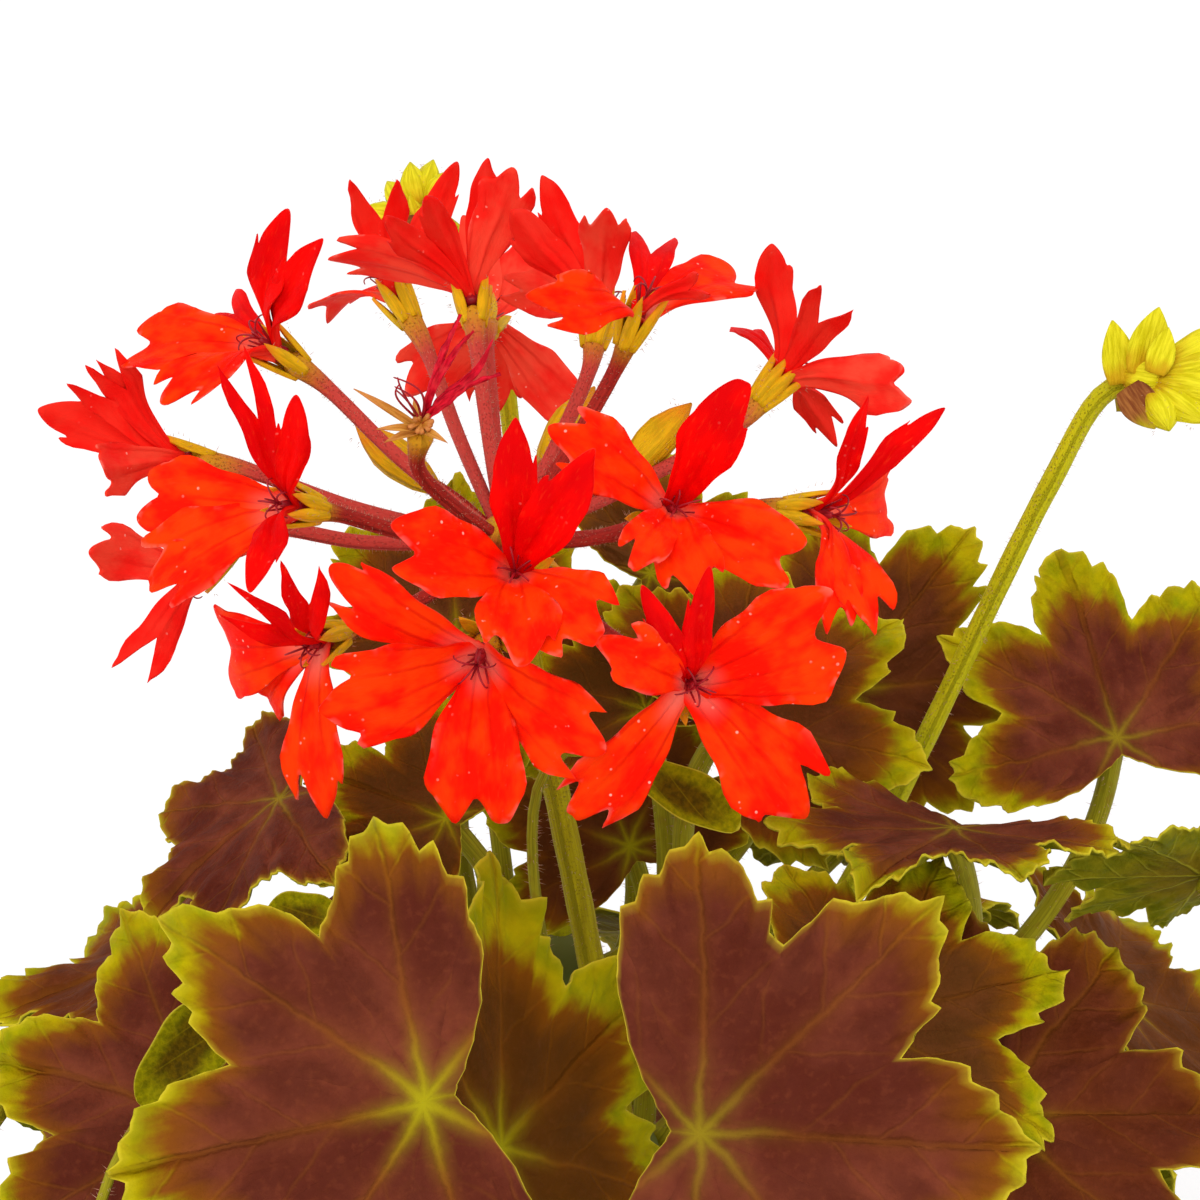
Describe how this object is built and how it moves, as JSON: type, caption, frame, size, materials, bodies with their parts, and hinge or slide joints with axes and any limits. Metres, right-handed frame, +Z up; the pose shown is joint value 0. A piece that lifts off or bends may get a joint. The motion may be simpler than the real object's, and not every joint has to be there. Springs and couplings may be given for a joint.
{
  "type": "potted_geranium",
  "caption": "Potted star-flowered geranium with bronze leaves edged in yellow-green, a scarlet umbel and nodding buds in a plain clay pot",
  "frame": {"origin": "centre of the underside of the pot, on the plane that the pot stands on", "axes": "+Z up; the front of the plant, as pictured, faces -Y; +X to the right seen from the front"},
  "size_m": [0.1559, 0.1635, 0.2488],
  "materials": {
    "clay": "dry matt terracotta with faint pale bloom",
    "soil": "loose dark potting mix of peat and bark",
    "stem": "fleshy green with brown joints",
    "leaf": "soft satin bronze with yellow-green margin and veins",
    "petal": "satin scarlet, thin and slightly translucent",
    "faded_petal": "shrivelled crimson",
    "flower_stalk": "hairy maroon and green",
    "bud": "finely hairy yellow-green"
  },
  "bodies": {
    "root": {"pot": "clay", "soil": "soil", "stem_front": "stem", "stem_centre": "stem", "stem_right": "stem", "stem_back": "stem", "stem_left": "stem", "leaf_front_left": "leaf", "leaf_front_left_behind": "leaf", "leaf_front_right": "leaf", "leaf_low_right": "leaf", "leaf_right_corner": "leaf", "leaf_right_flat": "leaf", "leaf_right_turned": "leaf", "leaf_right_edge": "leaf", "leaf_back_right": "leaf", "leaf_mid_right": "leaf", "leaf_left_side": "leaf", "leaf_left_corner": "leaf", "leaf_behind_umbel": "leaf", "leaf_behind_umbel_right": "leaf", "leaf_under_umbel_right": "leaf", "leaf_under_umbel_left": "leaf", "leaf_under_umbel": "leaf", "leaf_ring_1_1": "leaf", "leaf_ring_1_2": "leaf", "leaf_ring_1_3": "leaf", "leaf_ring_1_4": "leaf", "leaf_ring_1_5": "leaf", "leaf_ring_1_6": "leaf", "leaf_ring_1_7": "leaf", "leaf_ring_2_1": "leaf", "leaf_ring_2_2": "leaf", "leaf_ring_2_3": "leaf", "leaf_ring_2_4": "leaf", "leaf_ring_2_5": "leaf", "leaf_ring_3_1": "leaf", "leaf_ring_3_2": "leaf", "leaf_ring_3_3": "leaf", "flower_01": "petal", "flower_02": "petal", "flower_03": "petal", "flower_04": "petal", "flower_05": "petal", "flower_06": "petal", "flower_07": "petal", "flower_08": "petal", "flower_09": "petal", "flower_10": "petal", "flower_11": "petal", "flower_12": "petal", "flower_13": "petal", "flower_14": "petal", "flower_15": "petal", "flower_16": "petal", "flower_faded": "faded_petal", "umbel_stalks": "flower_stalk", "buds_right": "bud", "buds_back": "bud"}
  },
  "joints": []
}
